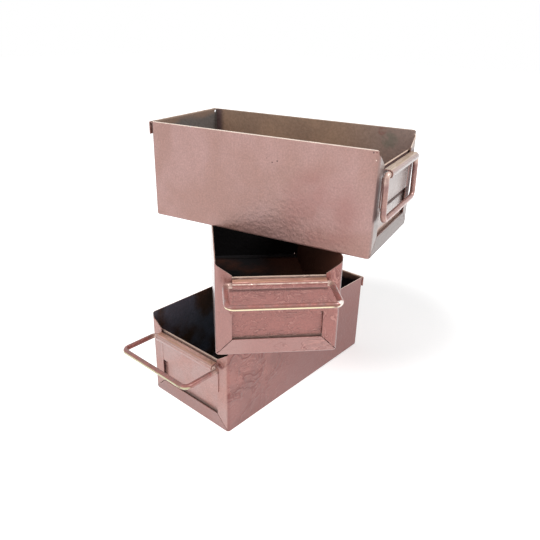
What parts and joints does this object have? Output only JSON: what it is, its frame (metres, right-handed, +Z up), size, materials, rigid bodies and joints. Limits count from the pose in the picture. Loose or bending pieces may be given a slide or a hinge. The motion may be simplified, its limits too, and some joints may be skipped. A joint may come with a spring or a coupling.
{
  "type": "stack of steel parts drawers",
  "caption": "Loose sheet-steel parts drawers with card slots and wire bail pulls, stacked crosswise, in worn copper-pink metallic paint",
  "frame": {"origin": "middle of the bottom drawer's underside, on the surface that the stack rests on", "axes": "+X across the bottom drawer's front, to the right in front view, +Y from the bottom drawer's front, where its bail is, to its back, +Z up"},
  "size_m": [0.3188, 0.3257, 0.33],
  "materials": {
    "painted_sheet": "satin metallic copper-pink paint, dusty and mottled",
    "wire": "the same paint, worn toward pale gold where hands hold it"
  },
  "bodies": {
    "bottom_drawer": {"bottom_tray": "painted_sheet", "bottom_front_panel": "painted_sheet", "bottom_back_panel": "painted_sheet", "bottom_pull_plate": "painted_sheet"},
    "middle_drawer": {"middle_tray": "painted_sheet", "middle_front_panel": "painted_sheet", "middle_back_panel": "painted_sheet", "middle_pull_plate": "painted_sheet"},
    "top_drawer": {"top_tray": "painted_sheet", "top_front_panel": "painted_sheet", "top_back_panel": "painted_sheet", "top_pull_plate": "painted_sheet"},
    "bottom_bail_handle": {"bottom_bail": "wire"},
    "middle_bail_handle": {"middle_bail": "wire"},
    "top_bail_handle": {"top_bail": "wire"}
  },
  "joints": [
    {"name": "middle_lift", "type": "slide", "parent": "bottom_drawer", "child": "middle_drawer", "axis": [0, 0, 1], "range_m": [0, 0.15]},
    {"name": "top_lift", "type": "slide", "parent": "middle_drawer", "child": "top_drawer", "axis": [0, 0, 1], "range_m": [0, 0.15]},
    {"name": "bottom_bail_swing", "type": "hinge", "parent": "bottom_drawer", "child": "bottom_bail_handle", "pos_m": [0, -0.1397, 0.085], "axis": [-1, 0, 0], "range_deg": [-92, 74]},
    {"name": "middle_bail_swing", "type": "hinge", "parent": "middle_drawer", "child": "middle_bail_handle", "pos_m": [0.10815, -0.10226, 0.195], "axis": [-0.6704, -0.742, 0], "range_deg": [-91, 97]},
    {"name": "top_bail_swing", "type": "hinge", "parent": "top_drawer", "child": "top_bail_handle", "pos_m": [0.16013, 0.02705, 0.305], "axis": [0.2215, -0.9751, 0], "range_deg": [-3.5, 184.5]}
  ]
}
